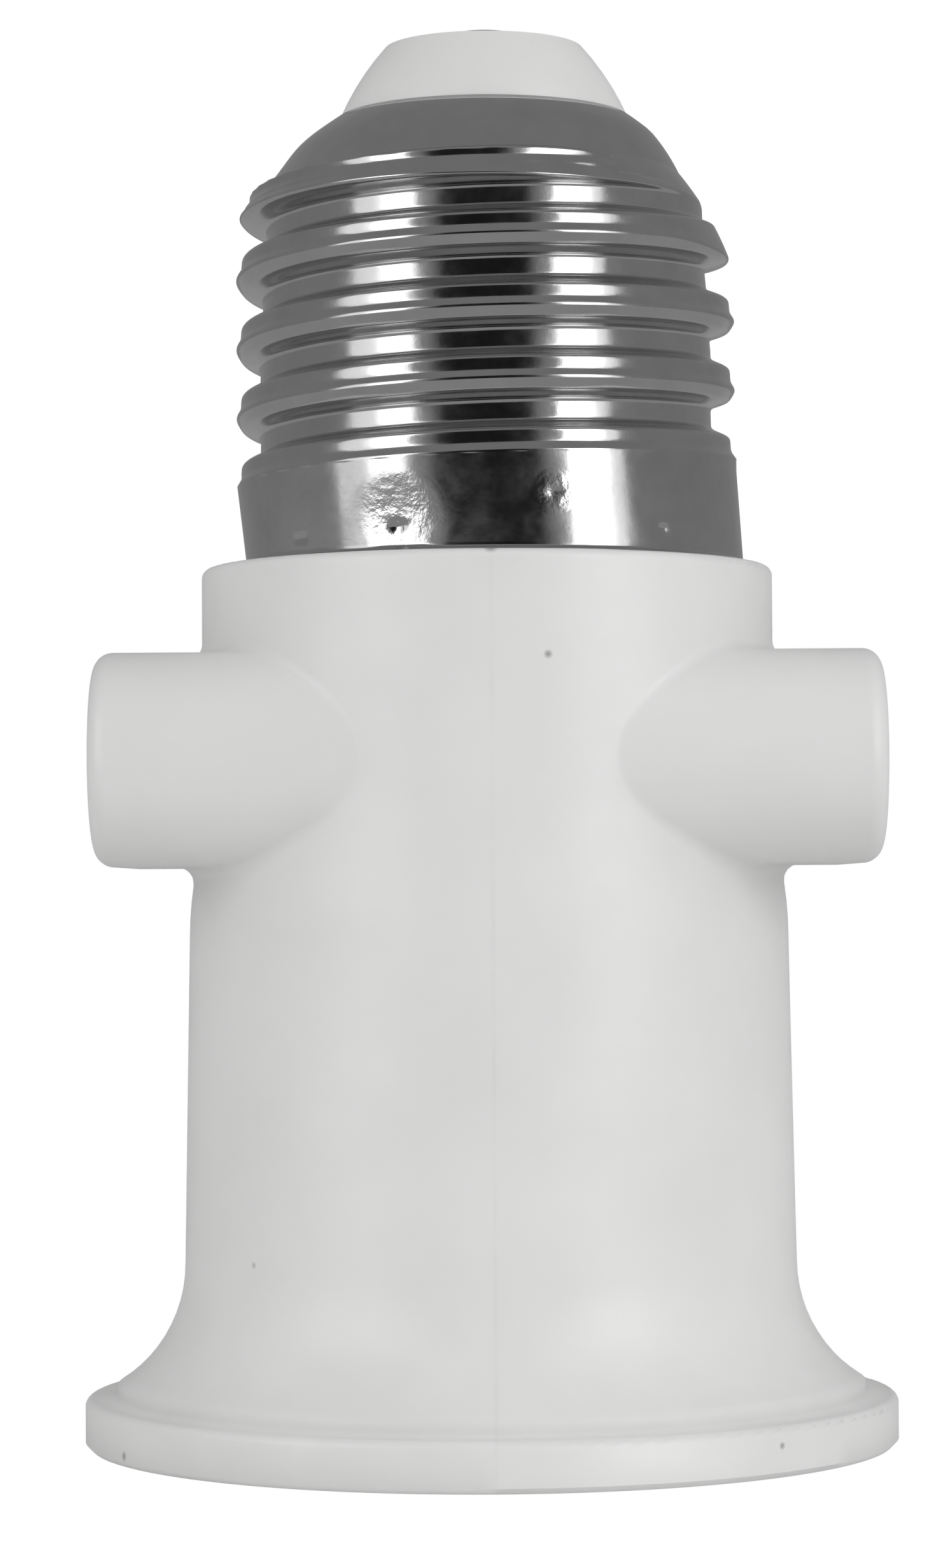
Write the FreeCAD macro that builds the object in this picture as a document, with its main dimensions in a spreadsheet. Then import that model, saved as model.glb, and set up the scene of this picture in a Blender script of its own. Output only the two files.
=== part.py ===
import FreeCAD, Part
import Sketcher
import math
import operator
import os

from FreeCAD import Placement, Rotation, Vector

# Lamp socket adapter: a screw cap on top, two side outlets and a lamp socket below.
# Millimetres. The origin is the centre of the flange's underside, +Z runs up through the cap,
# the outlets face +X and -X, and the live rail lies on the +Y side.

doc = FreeCAD.newDocument("lamp_socket_adapter")
dims = doc.addObject("Spreadsheet::Sheet", "dims")


class Size:
    """A length together with the sheet formula that gives it."""

    def __init__(self, value, text):
        self.value = value
        self.text = text

    def __add__(self, other):
        return combine(self, "+", other)

    def __radd__(self, other):
        return combine(other, "+", self)

    def __sub__(self, other):
        return combine(self, "-", other)

    def __rsub__(self, other):
        return combine(other, "-", self)

    def __mul__(self, other):
        return combine(self, "*", other)

    def __rmul__(self, other):
        return combine(other, "*", self)

    def __truediv__(self, other):
        return combine(self, "/", other)

    def __neg__(self):
        return combine(0.0, "-", self)


def as_size(number):
    return number if isinstance(number, Size) else Size(float(number), repr(float(number)))


SIGNS = {"+": operator.add, "-": operator.sub, "*": operator.mul, "/": operator.truediv}


def combine(left, sign, right):
    a = as_size(left)
    b = as_size(right)
    return Size(SIGNS[sign](a.value, b.value), f"({a.text} {sign} {b.text})")


def root(square):
    return Size(math.sqrt(square.value), f"sqrt({square.text})")


def cell(row, name, value):
    """Write one driving dimension into the sheet and hand it back as a Size."""
    dims.set(f"A{row}", name)
    dims.set(f"B{row}", str(value))
    dims.setAlias(f"B{row}", name)
    return Size(float(value), f"dims.{name}")


# Driving dimensions
DRIVING = {
    # thread of the cap and of the socket
    "pitch": 3.629,
    "thread_radius": 13.1,
    "thread_depth": 1.097,
    "thread_clearance": 0.2,
    "thread_land": 0.05,
    # lamp socket, from its mouth upwards
    "socket_mouth": 8.6,
    "socket_depth": 18.45,
    "socket_sheet": 0.35,
    "socket_thread_stop": 4.45,
    "collar_height": 2.6,
    "collar_step": 0.2,
    "shell_room": 0.35,
    "base_thickness": 2.6,
    "base_gap": 0.15,
    "play": 0.05,
    # centre contact and its leaf
    "contact_radius": 2.4,
    "contact_reach": 2.05,
    "contact_shank": 0.95,
    "contact_head": 1.7,
    "contact_room": 1.0,
    "window_room": 2.2,
    "leaf_sheet": 0.4,
    "leaf_half_width": 2.5,
    "leaf_lift": 0.3,
    "leaf_end": 0.4,
    # rails and the plug pins that they grip
    "post_height": 2.4,
    "rail_sheet": 0.6,
    "rail_half_length": 5.6,
    "rail_gap": 1.0,
    "pin_spacing": 19.0,
    "pin_radius": 2.0,
    "pin_clearance": 0.5,
    "pin_squeeze": 0.4,
    "ear_lean": 0.3,
    "ear_over": 0.9,
    "tab_end": 1.3,
    "tab_half_width": 1.5,
    # fasteners and wires
    "rivet_radius": 0.8,
    "rivet_head": 1.5,
    "rivet_head_height": 0.45,
    "live_room": 1.1,
    "screw_radius": 1.25,
    "screw_head": 2.2,
    "screw_head_height": 1.3,
    "screw_land": 0.6,
    "screw_bite": 9.5,
    "wire_radius": 0.5,
    "sleeve_radius": 1.0,
    "wire_hole": 1.2,
    # housing, inside
    "rail_room": 0.16,
    "chamber_room": 5.26,
    "ceiling_wall": 2.0,
    "pillar_wall": 1.35,
    "rib_half_width": 0.8,
    "neck_wall": 1.9,
    "neck_drop": 6.86,
    "tip_bore_drop": 1.86,
    "tip_wall": 2.2,
    # housing, outside
    "skirt_wall": 1.78,
    "skirt_draft": 0.3,
    "body_wall": 1.56,
    "waist_drop": 9.2,
    "body_drop": 1.8,
    "edge_round": 0.5,
    "flange_width": 5.22,
    "flange_land": 1.7,
    "flange_rim": 2.55,
    "flange_rise": 0.2,
    "rim_round": 0.45,
    "foot_chamfer": 0.3,
    "crease_step": 0.45,
    "flare_radius": 7.35,
    "mouth_wall": 1.1,
    "cone_gap": 0.1,
    "cone_rise": 3.756,
    "cone_taper": 2.4,
    "cone_arc": 14.0,
    # side outlets
    "outlet_side": 4.0,
    "outlet_height": 10.9,
    "outlet_proud": 4.99,
    "outlet_edge": 1.0,
    "outlet_root": 0.8,
    "pin_lead_in": 0.4,
    # cap
    "cap_sheet": 0.3,
    "cap_length": 20.064,
    "cap_opening": 7.7,
    "ring_step": 0.05,
    "ring_lip": 0.2,
    "ring_height": 3.64,
    "thread_runout": 1.408,
    "thread_top": 3.6,
    "fade_reach": 2.2,
    "fade_drop": 6.2,
    "dome_radius": 16.2,
    "dome_drop": 4.5,
    "neck_gap": 0.2,
    "seat_gap": 0.1,
    "stake_radius": 1.1,
    "stake_depth": 0.2,
    # tip
    "tip_margin": 1.4,
    "tip_rise": 0.9,
    "tip_shank": 1.3,
    "tag_sheet": 0.4,
    "tag_radius": 3.2,
    "tag_room": 0.4,
}

sizes = {name: cell(row, name, value) for row, (name, value) in enumerate(DRIVING.items(), 1)}


def size(name):
    return sizes[name]


def derive(name, length):
    """Write a size that follows from others into the sheet as a formula."""
    row = len(sizes) + 1
    dims.set(f"A{row}", name)
    dims.set(f"B{row}", "=" + length.text.replace("dims.", ""))
    dims.setAlias(f"B{row}", name)
    sizes[name] = Size(length.value, f"dims.{name}")
    return sizes[name]


# Lamp socket: the collar leads into the thread, and the bore of the housing goes round both
crest_arc = derive(
    "crest_arc",
    (size("pitch") * size("pitch") / 16 + size("thread_depth") * size("thread_depth") / 4)
    / size("thread_depth"),
)
socket_crest = derive("socket_crest", size("thread_radius") + size("thread_clearance"))
collar_radius = derive("collar_radius", socket_crest + size("collar_step"))
bore_radius = derive("bore_radius", collar_radius + size("socket_sheet") + size("shell_room"))
plate_underside = derive("plate_underside", size("socket_mouth") + size("socket_depth"))
base_underside = derive("base_underside", plate_underside + size("socket_sheet"))
base_top = derive("base_top", base_underside + size("base_thickness"))
contact_tip = derive("contact_tip", plate_underside - size("contact_reach"))
contact_window = derive("contact_window", size("contact_radius") + size("window_room"))
screw_offset = derive("screw_offset", contact_window + size("screw_land") + size("screw_head"))
leaf_top = derive("leaf_top", base_top + size("leaf_lift") + size("leaf_sheet"))
leaf_tail = derive("leaf_tail", size("contact_radius") + size("leaf_end"))

# Rails: one stands on each post, and the plug pins lie in it just above the rivet's head
rail_offset = derive("rail_offset", size("pin_spacing") / 2)
rail_grip = derive("rail_grip", size("pin_radius") - size("pin_squeeze"))
rail_half_width = derive("rail_half_width", rail_grip + size("rail_sheet") + size("ear_lean"))
rail_height = derive("rail_height", base_top + size("post_height"))
rail_top = derive("rail_top", rail_height + size("rail_sheet"))
outlet_centre = derive(
    "outlet_centre", rail_top + size("rivet_head_height") + size("pin_radius") + size("play")
)
ear_top = derive("ear_top", outlet_centre + size("pin_radius") + size("ear_over"))
tab_wire = derive(
    "tab_wire", rail_offset - rail_half_width - size("sleeve_radius") - size("play") * 2
)
tab_reach = derive("tab_reach", tab_wire - size("tab_end"))
rivet_hole = derive("rivet_hole", size("rivet_radius") + size("play"))
live_window = derive("live_window", size("rivet_head") + size("live_room"))

# Housing: the chamber clears the rails' corners, and the walls go round bore and chamber
rail_outside = derive("rail_outside", rail_offset + rail_half_width)
chamber_radius = derive(
    "chamber_radius",
    root(size("rail_half_length") * size("rail_half_length") + rail_outside * rail_outside)
    + size("rail_room"),
)
ceiling = derive("ceiling", ear_top + size("chamber_room"))
pillar_radius = derive("pillar_radius", size("screw_radius") + size("pillar_wall"))
skirt_radius = derive("skirt_radius", bore_radius + size("skirt_wall"))
waist_radius = derive("waist_radius", skirt_radius - size("skirt_draft"))
waist_height = derive("waist_height", outlet_centre - size("waist_drop"))
body_radius = derive("body_radius", chamber_radius + size("body_wall"))
body_straight = derive("body_straight", outlet_centre - size("body_drop"))
body_top = derive("body_top", ceiling + size("ceiling_wall"))
flange_radius = derive("flange_radius", skirt_radius + size("flange_width"))
flange_top = derive("flange_top", size("flange_rim") + size("flange_rise"))
crease_radius = derive("crease_radius", flange_radius - size("flange_land"))
mouth_radius = derive("mouth_radius", crease_radius - size("mouth_wall"))
flare_foot = derive("flare_foot", flange_top + size("crease_step"))
flare_centre = derive("flare_centre", skirt_radius + size("flare_radius"))
flare_reach = derive("flare_reach", flare_centre - crease_radius)
flare_top = derive(
    "flare_top",
    flare_foot + root(size("flare_radius") * size("flare_radius") - flare_reach * flare_reach),
)
outlet_reach = derive("outlet_reach", body_radius + size("outlet_proud"))
pin_hole = derive("pin_hole", size("pin_radius") + size("pin_clearance"))

# Cap: a plain ring on the housing's seat, then the thread, then the dome round the opening
root_radius = derive("root_radius", size("thread_radius") - size("thread_depth"))
cap_core = derive("cap_core", root_radius + size("thread_land"))
ring_radius = derive("ring_radius", size("thread_radius") + size("ring_step"))
ring_bore = derive("ring_bore", ring_radius - size("cap_sheet"))
ring_top = derive("ring_top", body_top + size("ring_height"))
shoulder_arc = derive("shoulder_arc", ring_radius - cap_core)
cap_rim = derive("cap_rim", ring_top + size("cap_length"))
dome_span = derive("dome_span", cap_core - size("cap_opening"))
dome_chord = derive(
    "dome_chord", root(dome_span * dome_span + size("dome_drop") * size("dome_drop"))
)
dome_sag = derive(
    "dome_sag", root(size("dome_radius") * size("dome_radius") - dome_chord * dome_chord / 4)
)
dome_axis = derive(
    "dome_axis",
    (cap_core + size("cap_opening")) / 2 - dome_sag * size("dome_drop") / dome_chord,
)
dome_centre = derive(
    "dome_centre", cap_rim - size("dome_drop") / 2 - dome_sag * dome_span / dome_chord
)

# Neck and tip: the housing fills the cap, and its cone stands in the opening
neck_radius = derive("neck_radius", root_radius - size("cap_sheet") - size("neck_gap"))
neck_bore = derive("neck_bore", neck_radius - size("neck_wall"))
neck_bore_top = derive("neck_bore_top", cap_rim - size("neck_drop"))
cone_base = derive("cone_base", size("cap_opening") - size("cone_gap"))
cone_radius = derive("cone_radius", cone_base - size("cone_taper"))
cone_top = derive("cone_top", cap_rim + size("cone_rise"))
tip_radius = derive("tip_radius", cone_radius - size("tip_margin"))
tip_bore = derive("tip_bore", size("tag_radius") + size("tag_room"))
tip_bore_base = derive("tip_bore_base", cap_rim - size("tip_bore_drop"))
tip_bore_top = derive("tip_bore_top", cone_top - size("tip_wall"))
tag_underside = derive("tag_underside", tip_bore_top - size("tag_sheet"))
tag_wire = derive(
    "tag_wire", size("tag_radius") - size("tag_sheet") - size("wire_radius") - size("play") * 3
)
doc.recompute()


# Straight steps of the thread's section: half a crest arc, and one root arc
CREST_STEPS = 3
ROOT_STEPS = 2


# Sketch and feature helpers
def dome_height(radius, inset):
    """Height of the cap's dome at a radius, on the surface that lies inset below the outside."""
    arc = size("dome_radius") - inset
    reach = radius - dome_axis
    return dome_centre + root(arc * arc - reach * reach)


def bind(feature, name, length):
    """Set a feature's size and tie it to the sheet."""
    length = as_size(length)
    if "." not in name:
        setattr(feature, name, length.value)
    feature.setExpression(name, length.text)


def new_body(label):
    body = doc.addObject("PartDesign::Body", label)
    body.Label = label
    return body


def new_sketch(body, name, role, height=None):
    """A sketch on one of the body's own origin planes, lifted off it by height if given."""
    sketch = body.newObject("Sketcher::SketchObject", name)
    plane = next(p for p in body.Origin.OriginFeatures if p.Role == role)
    sketch.AttachmentSupport = [(plane, "")]
    sketch.MapMode = "FlatFace"
    if height is not None:
        bind(sketch, "AttachmentOffset.Base.z", height)
    return sketch


def pin_point(sketch, geometry, place, x, y):
    """Fix one point of a sketch by two bound distances from the sketch's origin."""
    for kind, distance in (("DistanceX", as_size(x)), ("DistanceY", as_size(y))):
        index = sketch.addConstraint(
            Sketcher.Constraint(kind, -1, 1, geometry, place, distance.value)
        )
        if "dims" in distance.text:
            sketch.setExpression(f"Constraints[{index}]", distance.text)


def arc_between(start, end, radius, side):
    """An arc of a circle from start to end. side is +1 where the centre lies left of the way."""
    chord = end - start
    half = chord.Length / 2
    drop = math.sqrt(max(radius * radius - half * half, 0.0))
    left = Vector(-chord.y, chord.x, 0).normalize()
    centre = (start + end) * 0.5 + left * drop * side
    first = math.atan2(start.y - centre.y, start.x - centre.x)
    last = math.atan2(end.y - centre.y, end.x - centre.x)
    if side < 0:
        first, last = last, first
    if last < first:
        last += 2 * math.pi
    return Part.ArcOfCircle(Part.Circle(centre, Vector(0, 0, 1), radius), first, last)


def outline(body, name, role, corners, height=None):
    """Draw a closed outline. A corner is (x, y), or (x, y, radius, side) where an arc starts."""
    sketch = new_sketch(body, name, role, height)
    points = [Vector(as_size(c[0]).value, as_size(c[1]).value, 0) for c in corners]
    starts = []
    for index, corner in enumerate(corners):
        here = points[index]
        there = points[(index + 1) % len(points)]
        if len(corner) == 2:
            sketch.addGeometry(Part.LineSegment(here, there), False)
            starts.append((1, 2))
        else:
            radius = as_size(corner[2])
            sketch.addGeometry(arc_between(here, there, radius.value, corner[3]), False)
            starts.append((1, 2) if corner[3] > 0 else (2, 1))
            at = sketch.addConstraint(Sketcher.Constraint("Radius", index, radius.value))
            if "dims" in radius.text:
                sketch.setExpression(f"Constraints[{at}]", radius.text)
    for index, corner in enumerate(corners):
        after = (index + 1) % len(corners)
        sketch.addConstraint(
            Sketcher.Constraint("Coincident", index, starts[index][1], after, starts[after][0])
        )
    for index, corner in enumerate(corners):
        pin_point(sketch, index, starts[index][0], corner[0], corner[1])
    return sketch


def upright_curve(low, high):
    """Corners of two equal arcs that lead from one upright wall up to another."""
    half = (low[0] - high[0]) / 2
    rise = (high[1] - low[1]) / 2
    radius = (half * half + rise * rise) / (2 * root(half * half))
    side = 1 if half.value > 0 else -1
    return [(*low, radius, side), (low[0] - half, low[1] + rise, radius, -side), high]


def circles(body, name, role, centres, radius, height=None):
    """Draw equal circles whose centres and radius are bound to the sheet."""
    sketch = new_sketch(body, name, role, height)
    radius = as_size(radius)
    for index, (x, y) in enumerate(centres):
        centre = Vector(as_size(x).value, as_size(y).value, 0)
        sketch.addGeometry(Part.Circle(centre, Vector(0, 0, 1), radius.value), False)
        at = sketch.addConstraint(Sketcher.Constraint("Radius", index, radius.value))
        sketch.setExpression(f"Constraints[{at}]", radius.text)
        pin_point(sketch, index, 3, x, y)
    return sketch


def rectangle(body, name, role, x_from, x_to, y_from, y_to, height=None):
    corners = [(x_from, y_from), (x_to, y_from), (x_to, y_to), (x_from, y_to)]
    return outline(body, name, role, corners, height)


def turn(body, sketch, kind="Revolution"):
    """Revolve or groove a sketch once around the body's vertical axis."""
    feature = body.newObject(f"PartDesign::{kind}", f"{sketch.Name}_{kind.lower()}")
    feature.Profile = sketch
    feature.ReferenceAxis = (sketch, ["V_Axis"])
    feature.Angle = 360
    doc.recompute()
    return feature


def extrude(body, sketch, kind, length, midplane=False, reverse=False):
    """Pad or pocket a sketch by a bound length, and check that the solid changed."""
    before = body.Shape.Volume if body.Tip else 0.0
    feature = body.newObject(f"PartDesign::{kind}", f"{sketch.Name}_{kind.lower()}")
    feature.Profile = sketch
    bind(feature, "Length", length)
    feature.Midplane = midplane
    feature.Reversed = reverse
    doc.recompute()
    change = feature.Shape.Volume - before
    if (change < 1e-6) if kind == "Pad" else (change > -1e-6):
        raise ValueError(f"{feature.Name} leaves {body.Label} as it was")
    return feature


def dress(body, kind, name, edges, length):
    """Round or chamfer the edges that pass the test."""
    base = body.Tip
    chosen = [f"Edge{i}" for i, edge in enumerate(base.Shape.Edges, 1) if edges(edge)]
    if not chosen:
        raise ValueError(f"{name} finds no edge on {body.Label}")
    feature = body.newObject(f"PartDesign::{kind}", name)
    feature.Base = (base, chosen)
    bind(feature, "Radius" if kind == "Fillet" else "Size", length)
    doc.recompute()
    return feature


def helix(body, sketch, kind, rise):
    """Sweep a thread section along a right-hand helix around the body's vertical axis."""
    feature = body.newObject(f"PartDesign::{kind}", f"{sketch.Name}_helix")
    feature.Profile = sketch
    feature.ReferenceAxis = (sketch, ["V_Axis"])
    feature.Mode = 0
    feature.Growth = 0
    feature.Refine = False
    bind(feature, "Pitch", size("pitch"))
    bind(feature, "Height", rise)
    doc.recompute()
    return feature


def ridge_section(body, name, crest, height, bite):
    """Section of one turn of a rolled lamp thread, from root to root, in short straight steps.

    A crest arc runs into two root arcs of the same radius, a quarter of a pitch from the crest.
    """
    quarter = size("pitch") / 4
    root_line = crest - size("thread_depth")
    sagged = crest_arc - size("thread_land") / 2
    foot = root(crest_arc * crest_arc - sagged * sagged)
    flank = []
    for step in range(CREST_STEPS):
        away = quarter * (step / CREST_STEPS)
        flank.append((crest - crest_arc + root(crest_arc * crest_arc - away * away), away))
    for step in range(ROOT_STEPS + 1):
        away = quarter + (quarter - foot) * (step / ROOT_STEPS)
        back = size("pitch") / 2 - away
        flank.append((root_line + crest_arc - root(crest_arc * crest_arc - back * back), away))
    base = flank[-1][0] - bite
    corners = [(base, height - flank[-1][1])]
    corners += [(radius, height - away) for radius, away in reversed(flank[1:])]
    corners += [(radius, height + away) for radius, away in flank]
    corners += [(base, height + flank[-1][1])]
    return outline(body, name, "XZ_Plane", corners)


def back_section(body, name, tip, base, height, tip_half, base_half):
    """Plain section for the hidden side of a rolled thread, narrow at its tip."""
    corners = [
        (base, height - base_half),
        (tip, height - tip_half),
        (tip, height + tip_half),
        (base, height + base_half),
    ]
    return outline(body, name, "XZ_Plane", corners)


# Housing: one white moulding from the flange to the cone that insulates the tip
def make_housing():
    body = new_body("housing")
    seat_radius = ring_bore - size("seat_gap")
    seat_top = ring_top - shoulder_arc / 2
    under_dome = size("cap_sheet") + size("neck_gap") * 0.75
    round_edge = size("edge_round")
    outer = [
        (0, 0),
        (flange_radius - size("foot_chamfer"), 0),
        (flange_radius, size("foot_chamfer")),
        (flange_radius, size("flange_rim") - size("rim_round"), size("rim_round"), 1),
        (flange_radius - size("rim_round"), size("flange_rim")),
        (crease_radius, flange_top),
        (crease_radius, flare_foot, size("flare_radius"), -1),
        (skirt_radius, flare_top),
        *upright_curve((waist_radius, waist_height), (body_radius, body_straight)),
        (body_radius, body_top - round_edge, round_edge, 1),
        (body_radius - round_edge, body_top),
        (seat_radius, body_top),
        (seat_radius, seat_top),
        (neck_radius, seat_top),
        (
            neck_radius,
            dome_height(neck_radius, under_dome),
            size("dome_radius") - under_dome,
            1,
        ),
        (cone_base, dome_height(cone_base, under_dome)),
        (cone_base, cap_rim, size("cone_arc"), 1),
        (cone_radius, cone_top),
        (0, cone_top),
    ]
    turn(body, outline(body, "housing_outside", "XZ_Plane", outer))

    # stadium blocks of the two outlets, drawn once and padded through the body to both sides
    end = size("outlet_height") / 2
    straight = rail_offset + size("outlet_side") - end
    level = outlet_centre
    stadium = [
        (-straight, level - end),
        (straight, level - end, end, 1),
        (straight + end, level, end, 1),
        (straight, level + end),
        (-straight, level + end, end, 1),
        (-straight - end, level, end, 1),
    ]
    block = outline(body, "outlet_block", "YZ_Plane", stadium)
    extrude(body, block, "Pad", outlet_reach * 2, midplane=True)
    reach = outlet_reach.value
    dress(
        body,
        "Fillet",
        "outlet_edges",
        lambda edge: all(abs(abs(v.X) - reach) < 1e-4 for v in edge.Vertexes),
        size("outlet_edge"),
    )
    low = (outlet_centre - end).value
    high = (outlet_centre + end).value

    def on_root(edge):
        """Where an outlet meets the round body: all its points are on both."""
        middle = edge.valueAt((edge.FirstParameter + edge.LastParameter) / 2)
        points = [v.Point for v in edge.Vertexes] + [middle]
        block_end = straight.value
        for point in points:
            across = max(abs(point.y) - block_end, 0.0)
            off_block = math.hypot(across, point.z - level.value) - end.value
            if abs(off_block) > 1e-3 or abs(point.x) > skirt_radius.value:
                return False
        return low - 0.01 < middle.z < high + 0.01

    dress(body, "Fillet", "outlet_roots", on_root, size("outlet_root"))

    # everything that the moulding core leaves open, from the mouth to the hole for the tip's rivet
    inner_flare = size("flare_radius") + size("skirt_wall")
    mouth_reach = flare_centre - mouth_radius
    mouth_top = flare_top - root(inner_flare * inner_flare - mouth_reach * mouth_reach)
    inner = [
        (0, -1),
        (mouth_radius, -1),
        (mouth_radius, mouth_top, inner_flare, -1),
        (bore_radius, flare_top),
        (bore_radius, base_top),
        (chamber_radius, base_top),
        (chamber_radius, ceiling),
        (neck_bore, ceiling),
        (neck_bore, neck_bore_top),
        (tip_bore, tip_bore_base),
        (tip_bore, tip_bore_top),
        (size("tip_shank") + size("play"), tip_bore_top),
        (size("tip_shank") + size("play"), cone_top + 1),
        (0, cone_top + 1),
    ]
    turn(body, outline(body, "housing_inside", "XZ_Plane", inner), "Groove")

    # pillars for the base screws hang down to the base, each tied to the wall by a rib
    offset = screw_offset
    pillar = circles(
        body,
        "screw_pillar",
        "XY_Plane",
        [(offset, 0), (-offset, 0)],
        pillar_radius,
        base_top,
    )
    drop = ceiling - base_top + size("ceiling_wall") / 4
    extrude(body, pillar, "Pad", drop)
    half = size("rib_half_width")
    wall = chamber_radius + size("body_wall") / 3
    for name, near, far in (("right", offset, wall), ("left", -wall, -offset)):
        rib = rectangle(body, f"pillar_rib_{name}", "XY_Plane", near, far, -half, half, base_top)
        extrude(body, rib, "Pad", drop)
    pilot = circles(
        body,
        "screw_pilot",
        "XY_Plane",
        [(offset, 0), (-offset, 0)],
        size("screw_radius") + size("play"),
        base_top,
    )
    extrude(body, pilot, "Pocket", size("screw_bite"), reverse=True)

    # round pin holes, open from each outlet face to the chamber
    pins = circles(
        body,
        "pin_holes",
        "YZ_Plane",
        [(rail_offset, outlet_centre), (-rail_offset, outlet_centre)],
        pin_hole,
    )
    extrude(body, pins, "Pocket", outlet_reach * 2 + 2, midplane=True)
    dress(
        body,
        "Chamfer",
        "pin_lead_ins",
        lambda edge: is_circle(edge, pin_hole.value)
        and abs(abs(edge.Vertexes[0].X) - reach) < 1e-4,
        size("pin_lead_in"),
    )

    # hole through the ring seat for the neutral wire
    lead = circles(
        body,
        "wire_hole",
        "XZ_Plane",
        [(0, body_top + size("ring_height") / 2)],
        size("wire_hole"),
    )
    extrude(body, lead, "Pocket", ring_radius, reverse=True)
    return body


def is_circle(edge, radius):
    return isinstance(edge.Curve, Part.Circle) and abs(edge.Curve.Radius - radius) < 1e-4


# Cap: rolled brass sheet with the screw thread, staked to the housing's ring seat
def make_screw_shell():
    body = new_body("screw_shell")
    lip = size("ring_lip")
    shoulder = ring_top + shoulder_arc
    outer = [
        (0, body_top),
        (ring_radius + lip, body_top),
        (ring_radius + lip, body_top + lip / 2, lip, -1),
        (ring_radius, body_top + lip * 1.5),
        (ring_radius, ring_top, shoulder_arc, 1),
        (cap_core, shoulder),
        (cap_core, dome_height(cap_core, 0), size("dome_radius"), 1),
        (size("cap_opening"), cap_rim),
        (0, cap_rim),
    ]
    turn(body, outline(body, "cap_outside", "XZ_Plane", outer))

    first_crest = ring_top - size("thread_runout")
    rise = cap_rim - size("thread_top") - first_crest
    section = ridge_section(
        body, "cap_thread", size("thread_radius"), first_crest, size("cap_sheet") / 2
    )
    helix(body, section, "AdditiveHelix", rise)

    # the last crest fades where the sheet turns in over the dome
    inner_edge = cap_core - size("fade_reach")
    fade_low = size("thread_radius") + size("thread_depth") * 0.8
    clear = size("thread_land") * 2
    trim = [
        (inner_edge, dome_height(inner_edge, 0) + clear),
        (fade_low, cap_rim - size("fade_drop")),
        (fade_low, cap_rim + 1),
        (inner_edge, cap_rim + 1),
    ]
    turn(body, outline(body, "crest_fade", "XZ_Plane", trim), "Groove")

    sheet = size("cap_sheet")
    core_bore = root_radius - sheet
    inner = [
        (0, body_top - 1),
        (ring_bore, body_top - 1),
        (ring_bore, ring_top - sheet / 2),
        (core_bore, shoulder - sheet),
        (core_bore, dome_height(core_bore, sheet), size("dome_radius") - sheet, 1),
        (size("cap_opening"), dome_height(size("cap_opening"), sheet)),
        (size("cap_opening"), cap_rim + 1),
        (0, cap_rim + 1),
    ]
    turn(body, outline(body, "cap_inside", "XZ_Plane", inner), "Groove")

    hollow = back_section(
        body,
        "cap_thread_back",
        size("thread_radius") - sheet * 1.2,
        core_bore - sheet,
        first_crest + size("pitch"),
        size("pitch") * 0.1,
        size("pitch") * 0.36,
    )
    helix(body, hollow, "SubtractiveHelix", rise - size("pitch") * 2.2)

    # punch marks that stake the ring to the moulding
    marks = [(221.5, 0.32), (252.0, 0.34), (285.0, 0.88), (312.4, 0.35)]
    for number, (angle, share) in enumerate(marks, 1):
        stake = body.newObject("PartDesign::SubtractiveSphere", f"stake_{number}")
        bind(stake, "Radius", size("stake_radius"))
        away = ring_radius + size("stake_radius") - size("stake_depth")
        bind(stake, "AttachmentOffset.Base.x", away * round(math.cos(math.radians(angle)), 6))
        bind(stake, "AttachmentOffset.Base.y", away * round(math.sin(math.radians(angle)), 6))
        bind(stake, "AttachmentOffset.Base.z", body_top + size("ring_height") * share)
        plane = next(p for p in body.Origin.OriginFeatures if p.Role == "XY_Plane")
        stake.AttachmentSupport = [(plane, "")]
        stake.MapMode = "FlatFace"
        stake.Refine = False
        doc.recompute()
    return body


# Tip contact: a domed rivet through the cone, with its tail turned over the solder tag
def make_tip_contact():
    body = new_body("tip_contact")
    tail = size("tip_shank") + size("tag_sheet") * 2
    radius = tip_radius
    dome = (radius * radius + size("tip_rise") * size("tip_rise")) / (2 * size("tip_rise"))
    corners = [
        (0, tag_underside - size("tip_shank") / 2),
        (size("tip_shank"), tag_underside - size("tip_shank") / 2),
        (tail, tag_underside - size("tip_shank") / 4),
        (tail, tag_underside),
        (size("tip_shank"), tag_underside),
        (size("tip_shank"), cone_top),
        (radius, cone_top, dome, 1),
        (0, cone_top + size("tip_rise")),
    ]
    turn(body, outline(body, "tip_rivet", "XZ_Plane", corners))
    return body


def make_tip_tag():
    body = new_body("tip_tag")
    ring = rectangle(
        body,
        "tag_ring",
        "XZ_Plane",
        size("tip_shank") + size("play"),
        size("tag_radius"),
        tag_underside,
        tip_bore_top,
    )
    turn(body, ring)
    tab = rectangle(
        body,
        "tag_tab",
        "YZ_Plane",
        size("tag_radius") - size("tag_sheet"),
        size("tag_radius"),
        tag_underside - tip_radius * 0.8,
        tag_underside,
    )
    extrude(body, tab, "Pad", size("tip_shank") * 1.6, midplane=True)
    return body


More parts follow.
